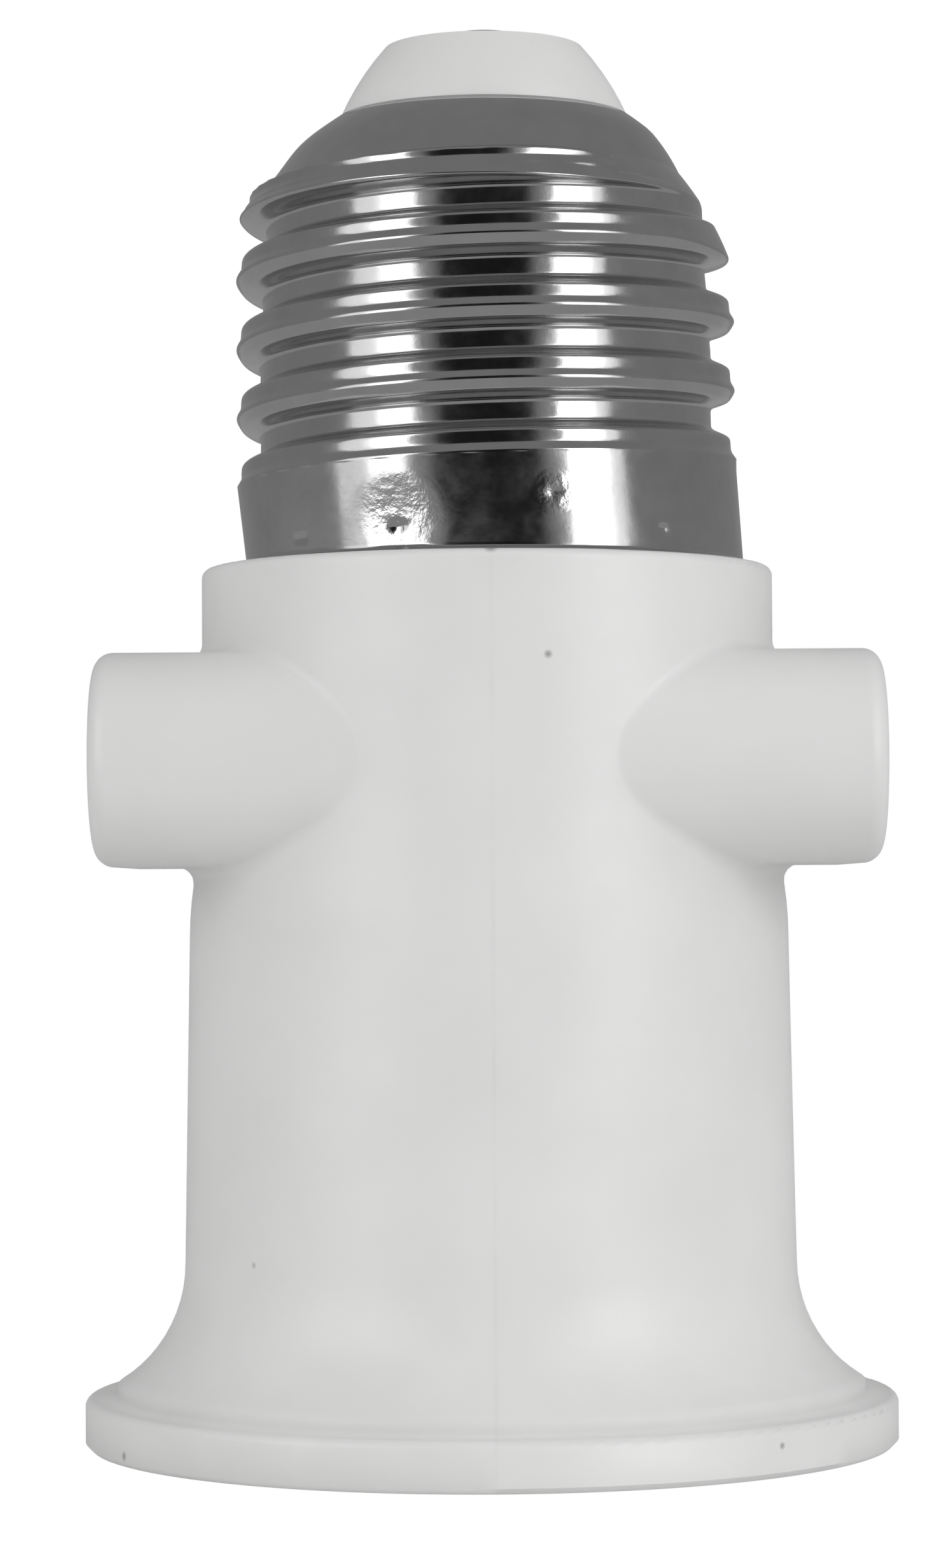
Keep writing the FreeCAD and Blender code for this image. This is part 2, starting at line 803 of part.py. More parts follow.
# Lamp socket: an insulating base under the chamber and a rolled screw shell under the base
def make_socket_base():
    body = new_body("socket_base")
    disc = rectangle(
        body,
        "base_disc",
        "XZ_Plane",
        size("contact_radius") + size("contact_room"),
        bore_radius - size("base_gap"),
        base_underside,
        base_top,
    )
    turn(body, disc)
    near = rail_offset - rail_half_width * 0.84
    far = rail_offset + rail_half_width * 0.84
    half = size("leaf_half_width")
    live = rectangle(body, "live_post", "XY_Plane", -half, half, near, far, base_top)
    live_rise = rail_height - size("leaf_sheet") - base_top
    extrude(body, live, "Pad", live_rise)
    neutral = rectangle(body, "neutral_post", "XY_Plane", -half, half, -far, -near, base_top)
    extrude(body, neutral, "Pad", rail_height - base_top)
    through = rail_height - base_underside + 1
    rivets = circles(
        body,
        "rivet_holes",
        "XY_Plane",
        [(0, rail_offset), (0, -rail_offset)],
        rivet_hole,
        base_underside,
    )
    extrude(body, rivets, "Pocket", through, reverse=True)
    screws = circles(
        body,
        "screw_holes",
        "XY_Plane",
        [(screw_offset, 0), (-screw_offset, 0)],
        size("screw_radius") + size("play") * 4,
        base_underside,
    )
    extrude(body, screws, "Pocket", through, reverse=True)
    sunk = circles(
        body,
        "live_recess",
        "XY_Plane",
        [(0, rail_offset)],
        live_window - size("base_gap") * 2,
        base_underside,
    )
    extrude(body, sunk, "Pocket", size("base_thickness") / 2, reverse=True)
    return body


def make_socket_shell():
    body = new_body("socket_shell")
    sheet = size("socket_sheet")
    crest = socket_crest
    core = crest - size("thread_depth") + size("thread_land")
    mouth = size("socket_mouth")
    collar_top = mouth + size("collar_height")
    cup = plate_underside - size("thread_depth")
    outer = [
        (0, mouth),
        (bore_radius - size("base_gap"), mouth),
        (bore_radius - size("base_gap"), mouth + sheet),
        (collar_radius + sheet, mouth + sheet),
        (collar_radius + sheet, collar_top + sheet),
        (crest + sheet, collar_top + sheet),
        (crest + sheet, cup),
        (core + sheet, base_underside),
        (0, base_underside),
    ]
    turn(body, outline(body, "socket_outside", "XZ_Plane", outer))
    inner = [
        (0, mouth - 1),
        (collar_radius, mouth - 1),
        (collar_radius, collar_top),
        (core, collar_top + (collar_radius - core) / 2),
        (core, cup),
        (core - sheet, plate_underside),
        (0, plate_underside),
    ]
    turn(body, outline(body, "socket_inside", "XZ_Plane", inner), "Groove")
    first_crest = mouth + size("collar_height") / 2 - size("pitch") / 4
    rise = plate_underside - size("socket_thread_stop") - first_crest
    groove = ridge_section(body, "socket_thread", crest, first_crest, sheet)
    helix(body, groove, "SubtractiveHelix", rise)

    back = back_section(
        body,
        "socket_thread_back",
        core + sheet * 1.2,
        crest + sheet * 2,
        first_crest + size("pitch"),
        size("pitch") * 0.1,
        size("pitch") * 0.36,
    )
    helix(body, back, "SubtractiveHelix", rise - size("pitch") * 1.35)

    window = circles(
        body, "contact_window", "XY_Plane", [(0, 0)], contact_window, base_underside
    )
    extrude(body, window, "Pocket", sheet * 2)
    live = circles(
        body, "live_window", "XY_Plane", [(0, rail_offset)], live_window, base_underside
    )
    extrude(body, live, "Pocket", sheet * 2)
    rivet = circles(body, "rivet_hole", "XY_Plane", [(0, -rail_offset)], rivet_hole, base_underside)
    extrude(body, rivet, "Pocket", sheet * 2)
    screws = circles(
        body,
        "shell_screw_holes",
        "XY_Plane",
        [(screw_offset, 0), (-screw_offset, 0)],
        size("screw_radius") + size("play") * 4,
        base_underside,
    )
    extrude(body, screws, "Pocket", sheet * 2)
    return body


# Rails: stamped brass channels whose folded ears grip a plug pin at each end
def make_rail(label, side):
    body = new_body(label)
    wide = rail_half_width
    sheet = size("rail_sheet")
    low = rail_height
    grip = rail_grip
    waist = outlet_centre + size("pin_radius") / 2
    top = ear_top
    lip = wide - sheet
    corners = [
        (-wide + sheet, low),
        (wide - sheet, low, sheet, 1),
        (wide, low + sheet),
        (wide, outlet_centre),
        (grip + sheet, waist),
        (wide, top),
        (lip, top),
        (grip, waist),
        (lip, outlet_centre),
        (lip, low + sheet),
        (-lip, low + sheet),
        (-lip, outlet_centre),
        (-grip, waist),
        (-lip, top),
        (-wide, top),
        (-grip - sheet, waist),
        (-wide, outlet_centre),
        (-wide, low + sheet, sheet, 1),
    ]
    channel = outline(body, "channel", "YZ_Plane", corners)
    extrude(body, channel, "Pad", size("rail_half_length") * 2, midplane=True)
    gap = size("rail_gap")
    notch = rectangle(body, "ear_gap", "XZ_Plane", -gap, gap, rail_top, top + 1)
    extrude(body, notch, "Pocket", wide * 3, midplane=True)
    inner_edge = tab_reach - rail_offset
    tab = rectangle(
        body,
        "solder_tab",
        "XY_Plane",
        -size("tab_half_width"),
        size("tab_half_width"),
        inner_edge,
        sheet - wide,
        low,
    )
    extrude(body, tab, "Pad", sheet)
    hole = circles(body, "rail_rivet_hole", "XY_Plane", [(0, 0)], rivet_hole, low)
    extrude(body, hole, "Pocket", sheet * 2, reverse=True)
    body.Placement = Placement(Vector(), Rotation(Vector(0, 0, 1), 0 if side > 0 else 180))
    bind(body, "Placement.Base.y", rail_offset * side)
    return body


def make_rivet(label, side, foot):
    """A rail rivet: a low head over the rail, and a turned head against the foot below."""
    body = new_body(label)
    shank = size("rivet_radius")
    head = size("rivet_head")
    low = size("rivet_head_height")
    corners = [
        (0, foot - low),
        (head - low / 2, foot - low),
        (head, foot - low / 2),
        (head, foot),
        (shank, foot),
        (shank, rail_top),
        (head - low / 2, rail_top),
        (shank, rail_top + low),
        (0, rail_top + low),
    ]
    turn(body, outline(body, "rivet", "XZ_Plane", corners))
    bind(body, "Placement.Base.y", rail_offset * side)
    return body


# Centre contact: a spring leaf clamped under the live rail, with a contact riveted to its end
def make_contact_leaf():
    body = new_body("contact_leaf")
    low = leaf_top - size("leaf_sheet")
    high = rail_height
    under = high - size("leaf_sheet")
    bend = size("contact_radius") + size("contact_room") * 1.2
    rise = rail_offset - rail_half_width
    end = rail_offset + rail_half_width * 0.84
    slant = size("leaf_sheet") * 0.3
    corners = [
        (-leaf_tail, low),
        (bend, low),
        (rise, under),
        (end, under),
        (end, high),
        (rise - slant, high),
        (bend - slant, leaf_top),
        (-leaf_tail, leaf_top),
    ]
    strip = outline(body, "leaf_side", "YZ_Plane", corners)
    extrude(body, strip, "Pad", size("leaf_half_width") * 2, midplane=True)
    tail = leaf_tail.value
    dress(
        body,
        "Fillet",
        "leaf_end",
        lambda edge: all(abs(v.Y + tail) < 1e-4 for v in edge.Vertexes)
        and abs(edge.Vertexes[0].Z - edge.Vertexes[-1].Z) > 1e-4,
        size("leaf_half_width") * 0.7,
    )
    through = rail_height - base_top + 1
    contact = circles(
        body,
        "contact_hole",
        "XY_Plane",
        [(0, 0)],
        size("contact_shank") + size("play"),
        base_top,
    )
    extrude(body, contact, "Pocket", through, reverse=True)
    rivet = circles(
        body, "leaf_rivet_hole", "XY_Plane", [(0, rail_offset)], rivet_hole, base_top
    )
    extrude(body, rivet, "Pocket", through, reverse=True)
    return body


def make_center_contact():
    body = new_body("center_contact")
    play = size("play")
    radius = size("contact_radius")
    tip = contact_tip
    rim = radius / 2
    under_leaf = leaf_top - size("leaf_sheet") - play
    over_leaf = leaf_top + play
    head = size("contact_head")
    corners = [
        (0, tip),
        (rim, tip, rim, 1),
        (radius, tip + rim),
        (radius, under_leaf),
        (size("contact_shank"), under_leaf),
        (size("contact_shank"), over_leaf),
        (head, over_leaf),
        (size("contact_shank"), over_leaf + head / 3),
        (0, over_leaf + head / 3),
    ]
    turn(body, outline(body, "contact", "XZ_Plane", corners))
    return body


# Two screws hold the shell and the base up against the housing's ledge
def make_base_screws():
    pair = []
    for side in (1, -1):
        body = new_body(f"base_screw_{'right' if side > 0 else 'left'}")
        head = size("screw_head")
        low = plate_underside - size("screw_head_height")
        end = base_top + size("screw_bite") - size("screw_radius")
        corners = [
            (0, low),
            (head - size("screw_head_height") / 2, low, size("screw_head_height") / 2, 1),
            (head, low + size("screw_head_height") / 2),
            (head, plate_underside),
            (size("screw_radius"), plate_underside),
            (size("screw_radius"), end),
            (0, end + size("screw_radius")),
        ]
        turn(body, outline(body, "screw", "XZ_Plane", corners))
        slot = rectangle(
            body, "screw_slot", "XY_Plane", -head * 1.1, head * 1.1, -head / 7, head / 7, low
        )
        extrude(body, slot, "Pocket", size("screw_head_height") / 2, reverse=True)
        bind(body, "Placement.Base.x", screw_offset * side)
        pair.append(body)
    screws = doc.addObject("Part::Compound", "base_screws")
    screws.Label = "base_screws"
    screws.Links = pair
    doc.recompute()
    return screws


# Wires: each is one bare conductor inside a plastic sleeve
def rounded_path(points, radii):
    """Straight runs joined by tangent arcs, one arc at each inner point."""
    edges = []
    start = points[0]
    for before, corner, after, radius in zip(points, points[1:], points[2:], radii):
        into = (corner - before).normalize()
        out = (after - corner).normalize()
        half_turn = into.getAngle(out) / 2
        cut = radius * math.tan(half_turn)
        first = corner - into * cut
        last = corner + out * cut
        inward = (out - into).normalize()
        middle = corner + inward * (radius / math.cos(half_turn) - radius)
        edges.append(Part.LineSegment(start, first).toShape())
        edges.append(Part.Arc(first, middle, last).toShape())
        start = last
    edges.append(Part.LineSegment(start, points[-1]).toShape())
    return edges


def tube(points, radii, radius, bore=None):
    """A round bar, or a sleeve with a bore, along a rounded path."""
    edges = rounded_path(points, radii)
    path = Part.Wire(edges)
    start = edges[0].Vertexes[0].Point
    heading = edges[0].tangentAt(edges[0].FirstParameter)
    ring = Part.Wire(Part.makeCircle(radius, start, heading))
    bar = path.makePipeShell([ring], True, True)
    if bore is None:
        return bar
    hole = Part.Wire(Part.makeCircle(bore, start, heading))
    return bar.cut(path.makePipeShell([hole], True, True))


def solid_feature(label, shape):
    feature = doc.addObject("Part::Feature", label)
    feature.Label = label
    feature.Shape = shape
    return feature


def make_wires():
    tab = tab_wire.value
    foot = rail_top.value
    bare = size("sleeve_radius").value * 2
    bore = size("wire_radius").value + size("play").value / 2
    tip_y = tag_wire.value
    tip_end = tag_underside.value - size("tip_shank").value
    bend_low = ceiling.value + 2.0
    bend_high = bend_low + 3 * (tab - tip_y)
    live = [
        Vector(0, tab, foot),
        Vector(0, tab, bend_low),
        Vector(0, tip_y, bend_high),
        Vector(0, tip_y, tip_end),
    ]
    seat = body_top.value + size("ring_height").value / 2
    ring_end = ring_bore.value - size("play").value
    neutral = [Vector(0, -tab, foot), Vector(0, -tab, seat), Vector(0, -ring_end, seat)]
    wide = 5 * size("sleeve_radius").value
    tight = 2.6 * size("sleeve_radius").value
    up = Vector(0, 0, bare)
    tag_bare = Vector(0, 0, -tip_radius.value)
    out = Vector(0, size("sleeve_radius").value * 1.5, 0)
    live_sleeve = [live[0] + up, live[1], live[2], live[3] + tag_bare]
    neutral_sleeve = [neutral[0] + up, neutral[1], neutral[2] + out]
    radius = size("wire_radius").value
    sleeve = size("sleeve_radius").value
    return [
        solid_feature("live_wire", tube(live, [wide, wide], radius)),
        solid_feature("live_sleeve", tube(live_sleeve, [wide, wide], sleeve, bore)),
        solid_feature("neutral_wire", tube(neutral, [tight], radius)),
        solid_feature("neutral_sleeve", tube(neutral_sleeve, [tight], sleeve, bore)),
    ]


def make_solder():
    """Solder cones round the wire ends: on the two rail tabs, the tip's tag and inside the ring."""
    radius = size("wire_radius").value
    wide = size("sleeve_radius").value
    foot = rail_top.value
    tab = tab_wire.value
    ring_end = ring_bore.value - size("play").value * 2
    seat = body_top.value + size("ring_height").value / 2
    tag_inside = (size("tag_radius") - size("tag_sheet")).value
    tip_low = tag_underside.value - tip_radius.value * 0.75
    height = wide * 1.2

    def cone_round(base, direction):
        cone = Part.makeCone(wide, radius * 1.3, height, base, direction)
        return cone.cut(Part.makeCylinder(radius, height * 3, base - direction * height, direction))

    on_tag = cone_round(Vector(0, tag_wire.value, tip_low), Vector(0, 0, 1))
    beyond_tag = Part.makeBox(4 * wide, wide, 4 * wide, Vector(-2 * wide, tag_inside, tip_low - wide))
    on_rails = [cone_round(Vector(0, side * tab, foot), Vector(0, 0, 1)) for side in (1, -1)]
    return [
        solid_feature("rail_solder", Part.makeCompound(on_rails)),
        solid_feature("tag_solder", on_tag.cut(beyond_tag)),
        solid_feature("ring_solder", cone_round(Vector(0, -ring_end, seat), Vector(0, 1, 0))),
    ]


parts = [
    make_housing(),
    make_screw_shell(),
    make_tip_contact(),
    make_tip_tag(),
    make_socket_base(),
    make_socket_shell(),
    make_rail("live_rail", 1),
    make_rail("neutral_rail", -1),
    make_rivet("live_rivet", 1, base_underside + size("base_thickness") / 2),
    make_rivet("neutral_rivet", -1, plate_underside),
    make_contact_leaf(),
    make_center_contact(),
    make_base_screws(),
    *make_wires(),
    *make_solder(),
]
doc.recompute()

# Every object must have computed, and every piece must be a sound solid, before anything is written
for item in doc.Objects:
    if "Invalid" in item.State or "Error" in item.State:
        raise ValueError(f"{item.Label} did not compute: {item.State}")
os.makedirs("parts", exist_ok=True)
for piece in parts:
    if piece.Shape.isNull() or not piece.Shape.isValid():
        raise ValueError(f"{piece.Label} is not a valid solid")
    piece.Shape.exportStep(f"parts/{piece.Label}.step")
    print(f"{piece.Label}: {len(piece.Shape.Solids)} solid, {piece.Shape.Volume:.1f} mm3")
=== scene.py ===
"""Looks of the lamp socket adapter: white moulding, plated screw cap and brass inside."""

import math

import bmesh
import bpy
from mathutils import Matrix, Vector


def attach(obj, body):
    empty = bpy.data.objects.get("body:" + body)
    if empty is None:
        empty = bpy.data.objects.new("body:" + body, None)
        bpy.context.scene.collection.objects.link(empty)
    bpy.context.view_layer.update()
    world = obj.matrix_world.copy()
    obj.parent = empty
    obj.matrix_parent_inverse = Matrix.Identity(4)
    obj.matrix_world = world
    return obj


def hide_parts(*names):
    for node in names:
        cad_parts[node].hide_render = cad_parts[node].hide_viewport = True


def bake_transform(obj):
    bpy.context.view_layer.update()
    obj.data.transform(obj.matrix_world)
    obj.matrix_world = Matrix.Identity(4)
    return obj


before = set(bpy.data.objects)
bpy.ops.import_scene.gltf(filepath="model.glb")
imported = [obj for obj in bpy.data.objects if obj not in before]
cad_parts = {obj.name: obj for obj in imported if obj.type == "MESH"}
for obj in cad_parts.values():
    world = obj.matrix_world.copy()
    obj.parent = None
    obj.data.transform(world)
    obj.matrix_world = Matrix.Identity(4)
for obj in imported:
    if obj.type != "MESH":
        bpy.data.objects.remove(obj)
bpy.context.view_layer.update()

MM = 0.001

# Lengths of the cap and the marks are in millimetres, and angles are in degrees round from +X.

# Screw thread of the cap: heights above the middle of a crest, and radii there
THREAD_POINTS = [
    (-0.1, 13.08),
    (0.0, 13.1),
    (0.1, 13.08),
    (0.4, 12.9),
    (0.52, 12.87),
    (1.05, 12.84),
    (1.2, 12.72),
    (1.52, 11.98),
    (1.68, 11.84),
    (2.62, 11.82),
    (2.78, 11.95),
    (3.0, 12.68),
    (3.1, 12.82),
    (3.38, 13.0),
]
THREAD_ROUNDING = 0.06
PITCH = 3.629
CREST_HEIGHT = 55.15
CREST_RADIUS = 13.1
CREST_TILT = 0.2  # how much lower the thread sits at the right than in the middle

# The roots get deeper and the wall inside them narrower from one height to another
DEEPER_FROM = 57
DEEPER_TO = 63
DEEPER_SHARE = 0.3
INNER_RADIUS = 11.52
INNER_STEP = 0.4
SHEET = 0.3

# Plain ring below the thread
RING_RADIUS = 13.15
RING_BOTTOM = 45.66
RING_TOP = 49.2
RING_LIP = 0.2
RING_SHOULDER = 1.2  # how steeply the shoulder above the ring draws in
RING_LEAN = 0.46  # how far the foot has been pushed to the right
RING_TAPER = 0.12  # how much the foot is drawn in
RING_PUSH_REACH = 5

# Punch marks on the ring: angle, share of the ring's height, depth and radius
STAKES = [
    (221.5, 0.28, 0.1, 0.32),
    (248.4, 0.36, 0.18, 0.5),
    (284.0, 0.82, 0.07, 0.34),
    (311.0, 0.35, 0.14, 0.42),
]
DENT = (249.0, 0.45, 0.12, 2.8)

# Rough places in the ring's plating: middle, reach and height of the relief
ROUGH_PLACES = [
    ((-4.4, -12.3, 47.5), 2.5, 0.03),
    ((3.4, -12.6, 48.6), 1.2, 0.03),
]

# Dome: part of a ball that is cut off at the rim and moved towards the axis
CAP_RIM = 69.364
CAP_OPENING = 7.7
DOME_RADIUS = 16.2
DOME_SHIFT = 1.548
DOME_CENTRE = CAP_RIM - math.sqrt(DOME_RADIUS**2 - (CAP_OPENING + DOME_SHIFT) ** 2)

# Where the dome isn't round: drawn in below the rim, most at the right, and fuller at the left
SLACK = 0.4
SLACK_AT_RIGHT = 0.35
SLACK_START = 0.9
SLACK_REACH = 2.2
SWELL = 0.1
SWELL_HEIGHT = 67.9
SPLAY = 0.15
SPLAY_HEIGHT = 65.8

# Last crest, which fades out over the dome
DOME_EDGE_RIGHT = 64.75
DOME_EDGE_TURNS = 290
RIDGE = 0.6
RIDGE_ANGLE = 262
RIDGE_REACH = 75
FADE = 3
FADE_RIGHT = (300, 350)
FADE_LEFT = (180, 155)
FADE_ABOVE = 0.85
FADE_SLOPE = 4

# How softly surfaces of the cap run into each other
SHOULDER_SOFTNESS = 0.2
DOME_SOFTNESS = 0.15

# Rows and steps of the cap's mesh
CAP_STEPS = 300
RING_ROWS = 24
THREAD_ROWS = 250
RIM_ROWS = 10
RIM_BAND = 2.6

# Moulding: its hidden neck in the cap, the parting line's distance from the middle, and specks, the
# last of them painted shade at the nick in the top edge
NECK_RADIUS = 10.7
NECK_CORE = 5
NECK_GAP = 0.05
PARTING_LINE = 0.2
SPECKS_AND_NICK_SHADE = [
    (3.0, -14.66, 40.4, 0.26),
    (-11.77, -10.6, 10.1, 0.24),
    (-18.4, -10.5, 0.6, 0.3),
    (14.16, -15.8, 1.6, 0.22),
    (2.5, -4.9, 72.4, 0.26),
    (-0.6, -5.8, 71.8, 0.2),
    # Last: the nick in the top edge, which has no shape of its own; its dark spot is painted shade
    (0.2, -14.6, 45.6, 0.4),
]

# The photograph's camera
CAMERA_DISTANCE = 232 * MM
CAMERA_HEIGHT = 28.7 * MM
CAMERA_LENS = 101.4
CAMERA_YAW = 0.185
CAMERA_PITCH = 1.4
CAMERA_ROLL = 0.36

# The studio round the object, in metres, degrees and grey levels
TENT_RADIUS = 1.2
TENT_HEIGHT = 1.4
TENT_SIDES = 64
TENT_GREY = 0.26
DARK_GREY = 0.012
DARK_FRONT = 22
DARK_TOP = 1.2
FLOOR_GREY = 0.36
FLOOR_DROP = 0.02 * MM
ROOM_LIGHT = 0.57


# Shader helpers
def new_material(name):
    material = bpy.data.materials.new(name)
    material.use_nodes = True
    tree = material.node_tree
    tree.nodes.clear()
    output = tree.nodes.new("ShaderNodeOutputMaterial")
    shader = tree.nodes.new("ShaderNodeBsdfPrincipled")
    tree.links.new(shader.outputs["BSDF"], output.inputs["Surface"])
    return material, shader


def object_place(tree):
    return tree.nodes.new("ShaderNodeTexCoord").outputs["Object"]


def math_node(tree, operation, *values):
    """A math node whose values are numbers or sockets."""
    node = tree.nodes.new("ShaderNodeMath")
    node.operation = operation
    for socket, value in zip(node.inputs, values):
        if isinstance(value, (int, float)):
            socket.default_value = value
        else:
            tree.links.new(value, socket)
    return node.outputs["Value"]


def map_range(tree, source, from_low, from_high, to_low=0.0, to_high=1.0):
    node = tree.nodes.new("ShaderNodeMapRange")
    node.inputs["From Min"].default_value = from_low
    node.inputs["From Max"].default_value = from_high
    node.inputs["To Min"].default_value = to_low
    node.inputs["To Max"].default_value = to_high
    tree.links.new(source, node.inputs["Value"])
    return node.outputs["Result"]


def distance_from(tree, place, centre):
    """Distance from a point that is given in millimetres."""
    node = tree.nodes.new("ShaderNodeVectorMath")
    node.operation = "DISTANCE"
    node.inputs[1].default_value = [value * MM for value in centre]
    tree.links.new(place, node.inputs[0])
    return node.outputs["Value"]


def mix_shaders(tree, factor, first, second):
    node = tree.nodes.new("ShaderNodeMixShader")
    tree.links.new(factor, node.inputs["Fac"])
    tree.links.new(first, node.inputs[1])
    tree.links.new(second, node.inputs[2])
    return node.outputs["Shader"]


def noise(tree, scale, detail, roughness=0.5):
    """Noise in object space, with its scale in features per millimetre."""
    mapping = tree.nodes.new("ShaderNodeMapping")
    mapping.inputs["Scale"].default_value = [scale / MM] * 3
    texture = tree.nodes.new("ShaderNodeTexNoise")
    texture.inputs["Scale"].default_value = 1.0
    texture.inputs["Detail"].default_value = detail
    texture.inputs["Roughness"].default_value = roughness
    tree.links.new(object_place(tree), mapping.inputs["Vector"])
    tree.links.new(mapping.outputs["Vector"], texture.inputs["Vector"])
    return texture.outputs["Fac"]


def spread(tree, source, low, high):
    """Map a noise value to a range."""
    return map_range(tree, source, 0.3, 0.7, low, high)


def ramp(tree, source, stops):
    """A colour ramp over a value. Each stop is (position, colour)."""
    node = tree.nodes.new("ShaderNodeValToRGB")
    elements = node.color_ramp.elements
    while len(elements) < len(stops):
        elements.new(0.5)
    for element, (position, colour) in zip(elements, stops):
        element.position = position
        element.color = (*colour, 1)
    tree.links.new(source, node.inputs["Fac"])
    return node.outputs["Color"]


def grey(level):
    return (level,) * 3


def bump(tree, source, height):
    """Surface relief of a real height in millimetres."""
    node = tree.nodes.new("ShaderNodeBump")
    node.inputs["Distance"].default_value = height * MM
    tree.links.new(source, node.inputs["Height"])
    return node


# Materials
def plastic(name, light, dark, roughness):
    """A moulded plastic with faint flow shades and a fine skin."""
    material, shader = new_material(name)
    tree = material.node_tree
    shade = ramp(tree, noise(tree, 0.12, 5.0), [(0.35, dark), (0.65, light)])
    gloss = spread(tree, noise(tree, 0.5, 3.0), roughness - 0.04, roughness + 0.05)
    skin = bump(tree, noise(tree, 3.0, 3.0), 0.004)
    tree.links.new(shade, shader.inputs["Base Color"])
    tree.links.new(gloss, shader.inputs["Roughness"])
    tree.links.new(skin.outputs["Normal"], shader.inputs["Normal"])
    shader.inputs["Specular IOR Level"].default_value = 0.5
    return material


def metal(name, light, dark, roughness, relief=0.003):
    """A plated or bare metal with faint clouding and fine scratches."""
    material, shader = new_material(name)
    tree = material.node_tree
    shade = ramp(tree, noise(tree, 0.35, 6.0, 0.6), [(0.35, dark), (0.65, light)])
    gloss = spread(tree, noise(tree, 0.9, 5.0, 0.65), roughness * 0.75, roughness * 1.35)
    finish = bump(tree, noise(tree, 0.8, 6.0, 0.7), relief)
    tree.links.new(shade, shader.inputs["Base Color"])
    tree.links.new(gloss, shader.inputs["Roughness"])
    tree.links.new(finish.outputs["Normal"], shader.inputs["Normal"])
    shader.inputs["Metallic"].default_value = 1.0
    return material


def rough_places(material):
    """Small dents round the rough places, below the material's own relief."""
    tree = material.node_tree
    finish = next(node for node in tree.nodes if node.type == "BUMP")
    earlier = None
    for centre, reach, height in ROUGH_PLACES:
        away = distance_from(tree, object_place(tree), centre)
        fade = map_range(tree, away, reach * 0.5 * MM, reach * MM, 1.0, 0.0)
        dents = bump(tree, math_node(tree, "MULTIPLY", fade, noise(tree, 1.6, 3.0, 0.6)), height)
        if earlier is not None:
            tree.links.new(earlier.outputs["Normal"], dents.inputs["Normal"])
        earlier = dents
    tree.links.new(earlier.outputs["Normal"], finish.inputs["Normal"])


def moulding_marks_and_painted_shade(material):
    """Specks in the plastic, with painted shade at the nick in the top edge and along the faint
    parting line up the front.
    """
    tree = material.node_tree
    shader = tree.nodes["Principled BSDF"]
    place = object_place(tree)
    nearest = None
    for *centre, radius in SPECKS_AND_NICK_SHADE:
        share = math_node(tree, "DIVIDE", distance_from(tree, place, centre), radius * MM)
        nearest = share if nearest is None else math_node(tree, "MINIMUM", nearest, share)
    # The spot at the nick in the top edge is painted shade; the other spots are real specks
    specks_and_nick_shade = ramp(tree, nearest, [(0.0, grey(0.35)), (0.55, grey(0.7)), (1.0, grey(1.0))])

    # The parting line's ridge has no shape of its own: the faint darkening along it is painted shade
    split = tree.nodes.new("ShaderNodeSeparateXYZ")
    tree.links.new(place, split.inputs["Vector"])
    across = math_node(tree, "SUBTRACT", split.outputs["X"], PARTING_LINE * MM)
    off = math_node(tree, "ABSOLUTE", across)
    near = map_range(tree, off, 0.04 * MM, 0.16 * MM, 1.0, 0.0)
    body_edge = RING_BOTTOM * MM
    below = map_range(tree, split.outputs["Z"], body_edge - MM, body_edge, 1.0, 0.0)
    faint = spread(tree, noise(tree, 0.35, 3.0), 0.0, 0.045)
    strength = math_node(tree, "MULTIPLY", near, math_node(tree, "MULTIPLY", below, faint))
    line = math_node(tree, "SUBTRACT", 1.0, strength)

    marked = shader.inputs["Base Color"].links[0].from_socket
    for factor in (specks_and_nick_shade, line):
        mix = tree.nodes.new("ShaderNodeMix")
        mix.data_type = "RGBA"
        mix.blend_type = "MULTIPLY"
        mix.inputs["Factor"].default_value = 1.0
        tree.links.new(marked, mix.inputs["A"])
        tree.links.new(factor, mix.inputs["B"])
        marked = mix.outputs["Result"]
    tree.links.new(marked, shader.inputs["Base Color"])


# Mesh helpers
def clamp(value, low=0.0, high=1.0):
    return max(low, min(high, value))


def smooth_max(a, b, softness):
    blend = max(softness - abs(a - b), 0.0) / softness
    return max(a, b) + blend * blend * softness / 4


def smooth_min(a, b, softness):
    return -smooth_max(-a, -b, softness)


def steps_between(low, high, count):
    return [low + (high - low) * i / count for i in range(count)]


def ring_grid(rows, steps, point):
    """Vertices and faces of a closed band. point(row, angle) is in millimetres."""
    points = []
    for row in rows:
        for step in range(steps):
            angle = math.tau * step / steps
            radius, height = point(row, angle)
            points.append((radius * math.cos(angle) * MM, radius * math.sin(angle) * MM, height * MM))
    faces = []
    for row in range(len(rows) - 1):
        for step in range(steps):
            after = (step + 1) % steps
            low, high = row * steps, (row + 1) * steps
            faces.append((low + step, low + after, high + after, high + step))
    return points, faces


def add_object(name, mesh):
    piece = bpy.data.objects.new(name, mesh)
    bpy.context.scene.collection.objects.link(piece)
    return piece


def weld(piece, distance):
    """Join points that lie closer than a distance in millimetres, and turn all faces outwards."""
    mesh = bmesh.new()
    mesh.from_mesh(piece.data)
    bmesh.ops.remove_doubles(mesh, verts=mesh.verts, dist=distance * MM)
    bmesh.ops.recalc_face_normals(mesh, faces=mesh.faces)
    mesh.to_mesh(piece.data)
    mesh.free()


